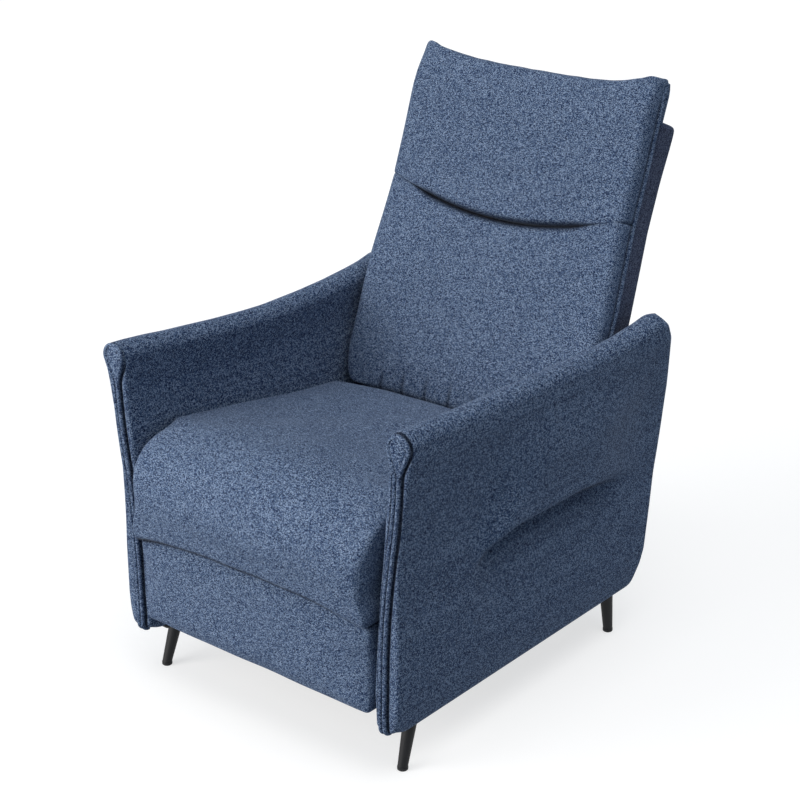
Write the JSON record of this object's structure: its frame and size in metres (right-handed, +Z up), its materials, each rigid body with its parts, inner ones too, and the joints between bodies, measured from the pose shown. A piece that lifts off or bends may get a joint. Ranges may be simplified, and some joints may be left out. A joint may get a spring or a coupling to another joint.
{
  "type": "recliner armchair",
  "caption": "Push-back recliner armchair with flared padded arms, crescent-tuck headrest, closed footrest panel and splayed tapered legs",
  "frame": {"origin": "on the floor under the middle of the chair's overall box", "axes": "+Z up, the chair faces -Y, the sitter's left is +X"},
  "size_m": [0.692, 0.8854, 1.0294],
  "materials": {
    "blue_fabric": "heathered chenille weave, matt",
    "dark_blue_fabric": "heathered chenille weave, darker, matt",
    "black_steel": "black powder coat, satin",
    "zinc_steel": "zinc-plated pressed steel",
    "spring_steel": "drawn spring wire",
    "plywood": "unfinished plywood",
    "pine_wood": "unfinished sawn pine",
    "webbing": "woven elastic webbing",
    "black_plastic": "moulded, matt"
  },
  "bodies": {
    "base": {"arm_frame_left": "plywood", "arm_pad_left": "blue_fabric", "arm_facing_left": "blue_fabric", "leg_front_left": "black_steel", "leg_plate_front_left": "zinc_steel", "foot_glide_front_left": "black_plastic", "leg_rear_left": "black_steel", "leg_plate_rear_left": "zinc_steel", "foot_glide_rear_left": "black_plastic", "mechanism_rail_left": "zinc_steel", "arm_frame_right": "plywood", "arm_pad_right": "blue_fabric", "arm_facing_right": "blue_fabric", "leg_front_right": "black_steel", "leg_plate_front_right": "zinc_steel", "foot_glide_front_right": "black_plastic", "leg_rear_right": "black_steel", "leg_plate_rear_right": "zinc_steel", "foot_glide_rear_right": "black_plastic", "mechanism_rail_right": "zinc_steel", "base_rail_front": "pine_wood", "base_rail_rear": "pine_wood", "rear_apron": "dark_blue_fabric"},
    "front_swing": {"front_swing_link_left": "zinc_steel", "front_swing_link_right": "zinc_steel", "front_torque_tube": "black_steel"},
    "rear_swing": {"rear_swing_link_left": "zinc_steel", "rear_swing_link_right": "zinc_steel"},
    "seat": {"seat_side_plate_left": "zinc_steel", "seat_rail_left": "pine_wood", "seat_side_plate_right": "zinc_steel", "seat_rail_right": "pine_wood", "seat_rail_front": "pine_wood", "seat_rail_rear": "pine_wood", "seat_spring_set": "spring_steel", "seat_cushion": "blue_fabric"},
    "ottoman_drive": {"ottoman_drive_link_left": "zinc_steel", "ottoman_drive_link_right": "zinc_steel", "ottoman_cross_tube": "black_steel"},
    "ottoman_support": {"ottoman_support_link_left": "zinc_steel", "ottoman_support_link_right": "zinc_steel"},
    "footrest": {"footrest_bracket_left": "zinc_steel", "footrest_bracket_right": "zinc_steel", "footrest_board": "plywood", "footrest_pad": "blue_fabric"},
    "backrest": {"back_bracket_left": "zinc_steel", "back_post_left": "pine_wood", "back_bracket_right": "zinc_steel", "back_post_right": "pine_wood", "back_rail_bottom": "pine_wood", "back_rail_top": "pine_wood", "back_webbing": "webbing", "back_shell": "dark_blue_fabric", "lumbar_cushion": "blue_fabric", "headrest_cushion": "blue_fabric"}
  },
  "joints": [
    {"name": "recline", "type": "hinge", "parent": "seat", "child": "backrest", "pos_m": [0, 0.1743, 0.37777], "axis": [-1, 0, 0], "range_deg": [0, 36]},
    {"name": "front_swing", "type": "hinge", "parent": "base", "child": "front_swing", "pos_m": [0, -0.22095, 0.1823], "axis": [1, 0, 0], "range_deg": [0, 56]},
    {"name": "rear_swing", "type": "hinge", "parent": "base", "child": "rear_swing", "pos_m": [0, 0.08905, 0.1823], "axis": [1, 0, 0], "range_deg": [0, 56]},
    {"name": "seat_level", "type": "hinge", "parent": "front_swing", "child": "seat", "pos_m": [0, -0.1787, 0.26177], "axis": [-1, 0, 0], "range_deg": [0, 56]},
    {"name": "ottoman_drive", "type": "hinge", "parent": "seat", "child": "ottoman_drive", "pos_m": [0, -0.3107, 0.22576], "axis": [-1, 0, 0], "range_deg": [0, 126.6]},
    {"name": "ottoman_support", "type": "hinge", "parent": "ottoman_drive", "child": "ottoman_support", "pos_m": [0, -0.2507, 0.10595], "axis": [1, 0, 0], "range_deg": [0, 136.9]},
    {"name": "footrest_tilt", "type": "hinge", "parent": "ottoman_support", "child": "footrest", "pos_m": [0, -0.35763, 0.20089], "axis": [-1, 0, 0], "range_deg": [0, 98.3]}
  ],
  "couplings": [
    {"joint": "front_swing", "follows": "recline", "ratio": 1.5556},
    {"joint": "rear_swing", "follows": "recline", "ratio": 1.5556},
    {"joint": "seat_level", "follows": "recline", "ratio": 1.5556},
    {"joint": "ottoman_drive", "follows": "recline", "ratio": 3.5167},
    {"joint": "ottoman_support", "follows": "recline", "ratio": 3.8028},
    {"joint": "footrest_tilt", "follows": "recline", "ratio": 2.7306}
  ]
}
